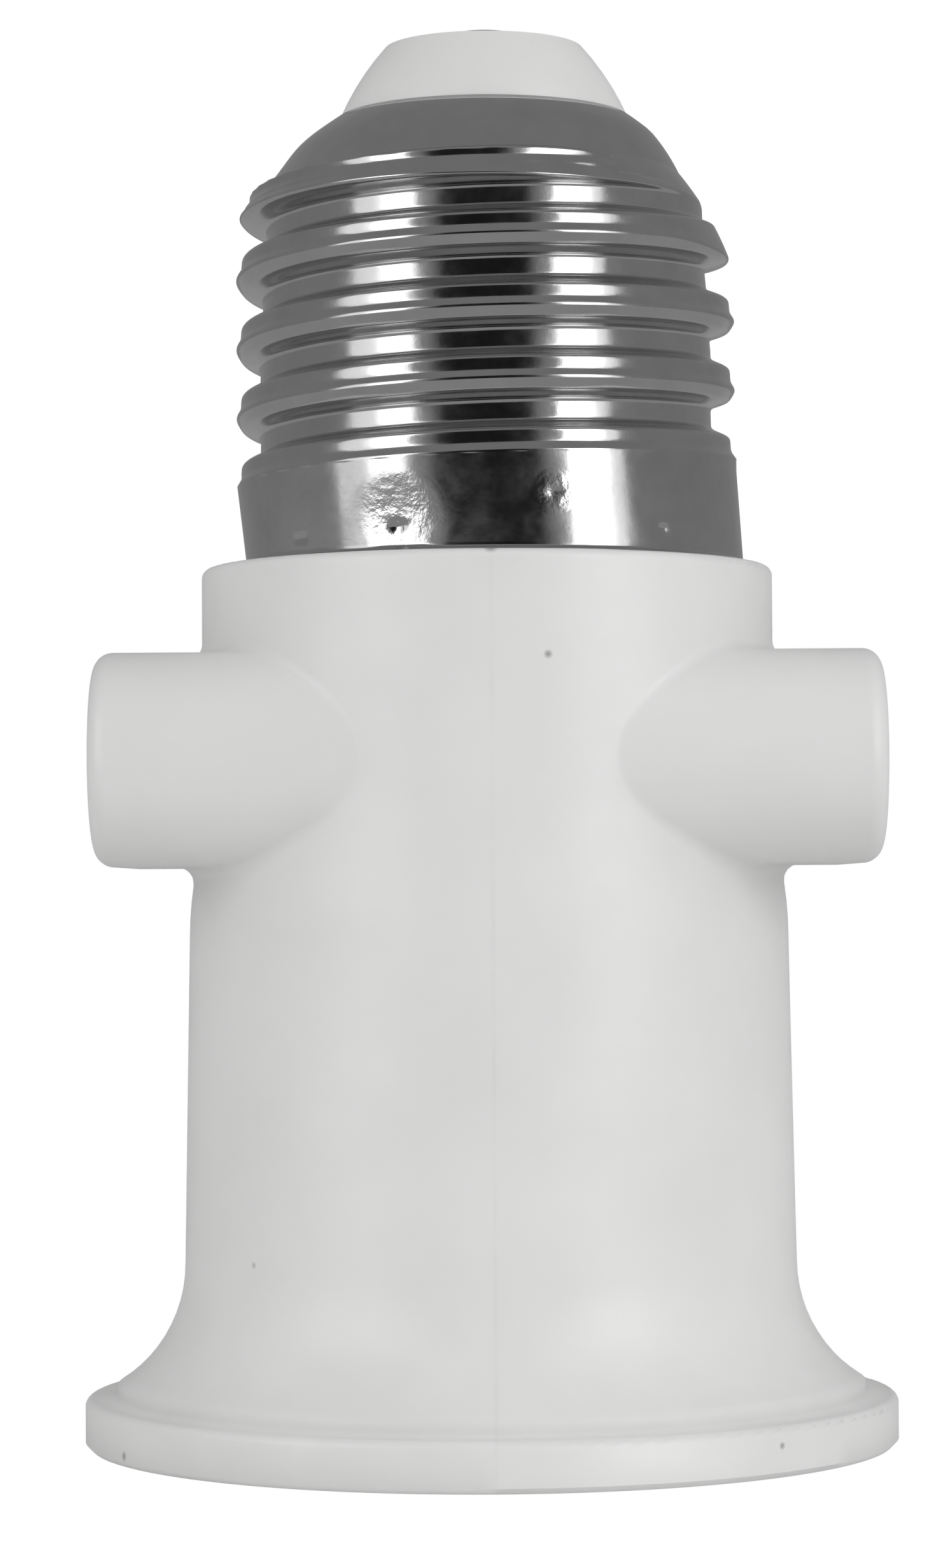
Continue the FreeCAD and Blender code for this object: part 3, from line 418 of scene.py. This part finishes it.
# Cap
def rolled_profile(count=360):
    """Radii over one pitch, with the corners between the points rounded off."""
    points = THREAD_POINTS + [(THREAD_POINTS[0][0] + PITCH, THREAD_POINTS[0][1])]
    radii = []
    for i in range(count):
        height = points[0][0] + PITCH * i / count
        low, high = next(pair for pair in zip(points, points[1:]) if height < pair[1][0] + 1e-9)
        share = (height - low[0]) / (high[0] - low[0])
        radii.append(low[1] + (high[1] - low[1]) * share)
    reach = round(THREAD_ROUNDING / PITCH * count)
    window = range(-reach, reach + 1)
    for _ in range(3):
        radii = [sum(radii[(i + j) % count] for j in window) / len(window) for i in range(count)]
    return radii


PROFILE = rolled_profile()


def helix_height(angle, turns=0):
    """Height of the crest's middle at an angle from 0 to a full turn."""
    return CREST_HEIGHT + PITCH * (angle / math.tau + turns) - CREST_TILT * math.cos(angle)


def deeper_share(height):
    return clamp((height - DEEPER_FROM) / (DEEPER_TO - DEEPER_FROM))


def thread_radius(angle, height):
    above = (height - helix_height(angle) - THREAD_POINTS[0][0]) % PITCH
    place = above / PITCH * len(PROFILE)
    low = int(place)
    share = place - low
    radius = PROFILE[low % len(PROFILE)] * (1 - share) + PROFILE[(low + 1) % len(PROFILE)] * share
    return CREST_RADIUS - (CREST_RADIUS - radius) * (1 + DEEPER_SHARE * deeper_share(height))


def ring_edge(angle):
    """Upper edge of the plain ring: it follows the lowest crest, then drops away at the back."""
    if angle >= math.pi / 2:
        return max(helix_height(angle, -2), RING_TOP)
    share = angle / (math.pi / 2)
    ease = share * share * (3 - 2 * share)
    return helix_height(math.tau, -2) * (1 - ease) + RING_TOP * ease


def dome_edge(angle):
    """Height where the dome ends: on the last crest round the front, lower at the right."""
    turned = math.degrees(angle)
    if turned >= DOME_EDGE_TURNS:
        top = helix_height(math.radians(DOME_EDGE_TURNS), 2)
        return top + (DOME_EDGE_RIGHT - top) * (turned - DOME_EDGE_TURNS) / (360 - DOME_EDGE_TURNS)
    if turned >= 180:
        return helix_height(angle, 2)
    return DOME_EDGE_RIGHT + (helix_height(math.pi, 2) - DOME_EDGE_RIGHT) * turned / 180


def dome_profile(angle, height):
    """The pressed dome, which is fuller at the left than at the right."""
    rise = max(height - DOME_CENTRE, 0.0)
    radius = math.sqrt(max(DOME_RADIUS**2 - rise**2, 0.0)) - DOME_SHIFT
    left = 1 - math.cos(angle)
    below = clamp((CAP_RIM - SLACK_START - height) / SLACK_REACH)
    radius -= below * (SLACK + SLACK_AT_RIGHT * math.cos(angle))
    radius += SWELL * left * math.exp(-((height - SWELL_HEIGHT) ** 2))
    return radius + SPLAY * left * max(SPLAY_HEIGHT - height, 0.0)


def last_ridge(angle):
    """How far the last crest stands out of the dome: most at the front, nothing at the sides."""
    away = (math.degrees(angle) - RIDGE_ANGLE) / RIDGE_REACH
    return RIDGE * math.cos(clamp(away, -1, 1) * math.pi / 2) ** 2


def crest_fade(angle, height_above):
    """How far the last crest has sunk into the dome, round its two ends and above its edge."""
    turned = math.degrees(angle)
    start, end = FADE_RIGHT if turned >= 180 else FADE_LEFT
    around = FADE * clamp((turned - start) / (end - start))
    return around + FADE_SLOPE * max(height_above - FADE_ABOVE, 0.0)


def dent_depth(angle, height):
    """Depth of the punch marks and of the dent round one of them."""
    depth = 0.0
    for degrees, share, deep, wide in [*STAKES, DENT]:
        turn = (angle - math.radians(degrees) + math.pi) % math.tau - math.pi
        across = turn * RING_RADIUS
        up = height - RING_BOTTOM - share * (RING_TOP - RING_BOTTOM)
        distance = math.hypot(across, up) / wide
        if distance < 1:
            depth += deep * (1 - distance**2) ** 2
    return depth


def cap_radius(angle, height):
    """Outer radius of the cap: ring, thread and dome in one."""
    edge = ring_edge(angle)
    wave = RING_RADIUS
    if height > edge:
        shoulder = RING_RADIUS - RING_SHOULDER * (height - edge)
        wave = smooth_max(thread_radius(angle, height), shoulder, SHOULDER_SOFTNESS)
    dome = dome_profile(angle, height)
    top = dome_edge(angle)
    if height <= top:
        return smooth_min(wave, dome + last_ridge(angle), DOME_SOFTNESS) - dent_depth(angle, height)
    crest = dome_profile(angle, top) + last_ridge(angle)
    sunk = wave - CREST_RADIUS + crest - crest_fade(angle, height - top)
    return smooth_max(dome, sunk, DOME_SOFTNESS)


def push_share(height):
    """How much of the ring's lean and taper a height takes: all at the foot."""
    return clamp((RING_BOTTOM + RING_PUSH_REACH - height) / RING_PUSH_REACH)


def cap_rows():
    """Rows of the cap's wall, up the outside and down the inside: kind, height, extra radius."""
    rows = [("lip", RING_BOTTOM, RING_LIP), ("lip", RING_BOTTOM + RING_LIP / 2, RING_LIP)]
    for step in range(1, 5):
        turn = math.sin(math.radians(90 * step / 5))
        rows.append(("lip", RING_BOTTOM + RING_LIP * (0.5 + turn), RING_LIP * (1 - turn) ** 1.2))
    outer = steps_between(RING_BOTTOM + RING_LIP * 1.6, RING_TOP, RING_ROWS)
    outer += steps_between(RING_TOP, CAP_RIM - RIM_BAND, THREAD_ROWS)
    outer += steps_between(CAP_RIM - RIM_BAND, CAP_RIM, RIM_ROWS) + [CAP_RIM]
    inner = [CAP_RIM - 0.1, CAP_RIM - 2.0, CAP_RIM - 5.0, RING_TOP + 1.5, RING_TOP, RING_BOTTOM]
    rows += [("outer", height, 0) for height in outer]
    return rows + [("inner", height, 0) for height in inner]


def cap_point(row, angle):
    kind, height, extra = row
    taper = RING_TAPER * push_share(height)
    if kind == "lip":
        return RING_RADIUS + extra - taper, height
    if kind == "outer":
        return cap_radius(angle, height) - taper, height
    if height <= RING_TOP:
        return RING_RADIUS - SHEET - taper, height
    wall = INNER_RADIUS - INNER_STEP * deeper_share(height)
    return min(wall, dome_profile(angle, height) - SHEET), height


def make_cap(material):
    """The plated cap, as one closed wall with the photograph's dents and lean."""
    rows = cap_rows()
    points, faces = ring_grid(rows + rows[:1], CAP_STEPS, cap_point)
    points = [(x + RING_LEAN * push_share(z / MM) * MM, y, z) for x, y, z in points]
    mesh = bpy.data.meshes.new("cap")
    mesh.from_pydata(points, [], faces)
    mesh.materials.append(material)
    mesh.polygons.foreach_set("use_smooth", [True] * len(mesh.polygons))
    piece = add_object("cap", mesh)
    weld(piece, 0.001)
    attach(piece, "adapter")
    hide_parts("screw_shell")


# Other pieces
def copy_of(node, material, body="adapter"):
    """The node's own mesh, welded and shaded smooth, at the same place."""
    piece = add_object(f"{node}_finish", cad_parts[node].data.copy())
    mesh = piece.data
    mesh.materials.clear()
    mesh.materials.append(material)
    weld(piece, 0.01)
    mesh.polygons.foreach_set("use_smooth", [True] * len(mesh.polygons))
    mesh.set_sharp_from_angle(angle=math.radians(25))
    if body:
        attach(piece, body)
    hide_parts(node)
    return piece


def draw_in(piece):
    """Keep the moulding's hidden neck inside the cap, and its ring seat under the leaning ring."""
    seat_top = RING_TOP + 0.5
    for vertex in piece.data.vertices:
        x, y, z = vertex.co / MM
        radius = math.hypot(x, y)
        if z > seat_top and radius > NECK_CORE:
            if z < CAP_RIM - 0.15:
                limit = min(NECK_RADIUS, dome_profile(0, z) - SHEET - NECK_GAP)
                share = min(limit / radius, 1)
                vertex.co = (x * share * MM, y * share * MM, z * MM)
        elif RING_BOTTOM - 0.1 < z <= seat_top and radius < RING_RADIUS:
            vertex.co.x += RING_LEAN * push_share(z) * MM


# Stage
def make_floor():
    """A pale floor that looks white from above, grey in the metal, and clear from below."""
    material = bpy.data.materials.new("floor")
    material.use_nodes = True
    tree = material.node_tree
    shader = tree.nodes["Principled BSDF"]
    shader.inputs["Base Color"].default_value = (0.9, 0.9, 0.9, 1)
    shader.inputs["Roughness"].default_value = 0.9
    glow = tree.nodes.new("ShaderNodeEmission")
    rays = tree.nodes.new("ShaderNodeLightPath").outputs
    level = map_range(tree, rays["Is Camera Ray"], 0.0, 1.0, FLOOR_GREY, 1.0)
    tree.links.new(level, glow.inputs["Strength"])
    seen = math_node(tree, "MAXIMUM", rays["Is Camera Ray"], rays["Is Glossy Ray"])
    top = mix_shaders(tree, seen, shader.outputs["BSDF"], glow.outputs["Emission"])
    below = tree.nodes.new("ShaderNodeNewGeometry").outputs["Backfacing"]
    clear = tree.nodes.new("ShaderNodeBsdfTransparent").outputs["BSDF"]
    surface = mix_shaders(tree, below, top, clear)
    tree.links.new(surface, tree.nodes["Material Output"].inputs["Surface"])
    bpy.ops.mesh.primitive_plane_add(size=4, location=(0, 0, -FLOOR_DROP))
    floor = bpy.context.object
    floor.name = "floor"
    floor.data.materials.append(material)


def tent_material():
    """Grey all round, with a dark front up to DARK_TOP."""
    material = bpy.data.materials.new("tent")
    material.use_nodes = True
    tree = material.node_tree
    tree.nodes.clear()
    output = tree.nodes.new("ShaderNodeOutputMaterial")
    glow = tree.nodes.new("ShaderNodeEmission")
    split = tree.nodes.new("ShaderNodeSeparateXYZ")
    tree.links.new(object_place(tree), split.inputs["Vector"])
    front = math_node(tree, "MULTIPLY", split.outputs["Y"], -1.0)
    turned = math_node(tree, "ARCTAN2", split.outputs["X"], front)
    share = math_node(tree, "ADD", math_node(tree, "DIVIDE", turned, math.tau), 0.5)
    edge = DARK_FRONT / 360
    stops = [
        (0.0, grey(TENT_GREY)),
        (0.5 - edge - 0.015, grey(TENT_GREY)),
        (0.5 - edge, grey(DARK_GREY)),
        (0.5 + edge, grey(DARK_GREY)),
        (0.5 + edge + 0.015, grey(TENT_GREY)),
    ]
    blend = tree.nodes.new("ShaderNodeMix")
    blend.data_type = "RGBA"
    above = map_range(tree, split.outputs["Z"], DARK_TOP - 0.08, DARK_TOP + 0.08)
    tree.links.new(above, blend.inputs["Factor"])
    tree.links.new(ramp(tree, share, stops), blend.inputs["A"])
    blend.inputs["B"].default_value = (*grey(TENT_GREY), 1)
    tree.links.new(blend.outputs["Result"], glow.inputs["Color"])
    tree.links.new(glow.outputs["Emission"], output.inputs["Surface"])
    return material


def make_tent():
    """The dim studio that only shows as a reflection."""
    points = [
        (TENT_RADIUS * math.sin(turn), -TENT_RADIUS * math.cos(turn), height)
        for height in (-0.01, TENT_HEIGHT)
        for turn in (math.tau * step / TENT_SIDES for step in range(TENT_SIDES))
    ]
    points.append((0, 0, TENT_HEIGHT))
    faces = []
    for step in range(TENT_SIDES):
        after = (step + 1) % TENT_SIDES
        faces.append((step, after, TENT_SIDES + after, TENT_SIDES + step))
        faces.append((TENT_SIDES + step, TENT_SIDES + after, 2 * TENT_SIDES))
    mesh = bpy.data.meshes.new("tent")
    mesh.from_pydata(points, [], faces)
    mesh.materials.append(tent_material())
    tent = add_object("tent", mesh)
    tent.visible_camera = False
    tent.visible_diffuse = False
    tent.visible_shadow = False


def background(tree, strength):
    node = tree.nodes.new("ShaderNodeBackground")
    node.inputs["Color"].default_value = (1, 1, 1, 1)
    node.inputs["Strength"].default_value = strength
    return node.outputs["Background"]


def make_world():
    """Even room light, which looks white where it is seen, mirrored or looked through."""
    world = bpy.data.worlds.new("world")
    bpy.context.scene.world = world
    world.use_nodes = True
    tree = world.node_tree
    tree.nodes.clear()
    output = tree.nodes.new("ShaderNodeOutputWorld")
    rays = tree.nodes.new("ShaderNodeLightPath").outputs
    seen = math_node(tree, "MAXIMUM", rays["Is Camera Ray"], rays["Is Glossy Ray"])
    shown = math_node(tree, "MAXIMUM", seen, rays["Is Transmission Ray"])
    surface = mix_shaders(tree, shown, background(tree, ROOM_LIGHT), background(tree, 1.0))
    tree.links.new(surface, output.inputs["Surface"])


def softbox(name, azimuth, elevation, width, power, height=1.1, distance=0.9, aim=25):
    """An area lamp that faces the object. Azimuth 0 is on the camera's side, 90 on the right."""
    turn, rise = math.radians(azimuth), math.radians(elevation)
    away = Vector((math.sin(turn) * math.cos(rise), -math.cos(turn) * math.cos(rise), math.sin(rise)))
    lamp = bpy.data.lights.new(name, "AREA")
    lamp.shape = "RECTANGLE"
    lamp.size = width
    lamp.size_y = height
    lamp.energy = power
    box = add_object(name, lamp)
    box.location = Vector((0, 0, aim * MM)) + away * distance
    box.rotation_mode = "QUATERNION"
    box.rotation_quaternion = away.to_track_quat("Z", "Y")
    return box


def make_lights():
    """Two softboxes, fills that the metal doesn't mirror, and glints that only it mirrors."""
    softbox("key_right", 46, 9, 0.30, 3.3)
    softbox("key_left", -46, 9, 0.30, 2.4)
    softbox("fill_right", 88, 6, 0.30, 1.5).visible_glossy = False
    softbox("fill_left", -95, 6, 0.30, 0.5).visible_glossy = False
    softbox("glint_left", -64, 9, 0.26, 0.9).visible_diffuse = False
    softbox("glint_right", 60, 9, 0.13, 0.5).visible_diffuse = False
    low = softbox("fill_low", 6, 34, 0.04, 0.0004, height=0.04, distance=0.45, aim=2)
    low.visible_glossy = False
    low.data.spread = math.radians(10)


def make_camera():
    lens = bpy.data.cameras.new("camera")
    lens.lens = CAMERA_LENS
    lens.sensor_width = 36
    lens.clip_start = 0.01
    camera = add_object("camera", lens)
    camera.location = (0, -CAMERA_DISTANCE, CAMERA_HEIGHT)
    camera.rotation_euler = (
        math.radians(90 + CAMERA_PITCH),
        math.radians(CAMERA_ROLL),
        math.radians(CAMERA_YAW),
    )
    bpy.context.scene.camera = camera


white_plastic = plastic("white_plastic", (0.75, 0.75, 0.745), (0.72, 0.72, 0.715), 0.38)
moulding_marks_and_painted_shade(white_plastic)
base_plastic = plastic("base_plastic", (0.62, 0.61, 0.58), (0.57, 0.56, 0.53), 0.5)
plated_steel = metal("plated_steel", (0.55, 0.55, 0.55), (0.5, 0.5, 0.5), 0.14)
plated_brass = metal("plated_brass", (0.66, 0.64, 0.58), (0.6, 0.58, 0.52), 0.2)
brass = metal("brass", (0.72, 0.52, 0.24), (0.62, 0.43, 0.18), 0.28)
copper = metal("copper", (0.68, 0.36, 0.22), (0.58, 0.3, 0.18), 0.3)
solder = metal("solder", (0.5, 0.5, 0.5), (0.4, 0.4, 0.41), 0.38)
live_insulation = plastic("live_insulation", (0.33, 0.05, 0.035), (0.27, 0.04, 0.03), 0.45)
neutral_insulation = plastic("neutral_insulation", (0.03, 0.07, 0.3), (0.025, 0.055, 0.24), 0.45)
cap_steel = metal("cap_steel", (0.55, 0.55, 0.55), (0.5, 0.5, 0.5), 0.15, 0.005)
rough_places(cap_steel)

FINISHES = {
    "housing": (white_plastic, "white_plastic"),
    "tip_contact": (plated_brass, "plated_brass"),
    "tip_tag": (brass, "brass"),
    "socket_base": (base_plastic, "base_plastic"),
    "socket_shell": (plated_steel, "plated_steel"),
    "live_rail": (brass, "brass"),
    "neutral_rail": (brass, "brass"),
    "live_rivet": (plated_brass, "plated_brass"),
    "neutral_rivet": (plated_brass, "plated_brass"),
    "base_screws": (plated_steel, "plated_steel"),
    "live_wire": (copper, "copper"),
    "live_sleeve": (live_insulation, "live_insulation"),
    "neutral_wire": (copper, "copper"),
    "neutral_sleeve": (neutral_insulation, "neutral_insulation"),
    "rail_solder": (solder, "solder"),
    "tag_solder": (solder, "solder"),
    "ring_solder": (solder, "solder"),
}
make_cap(cap_steel)
finished = {node: copy_of(node, material) for node, (material, slot) in FINISHES.items()}
draw_in(finished["housing"])
leaf = copy_of("contact_leaf", brass, body=None)
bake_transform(leaf)
copy_of("center_contact", plated_brass, body="contact_button")

make_floor()
make_world()
make_tent()
make_lights()
make_camera()
bpy.context.scene.view_settings.view_transform = "Standard"
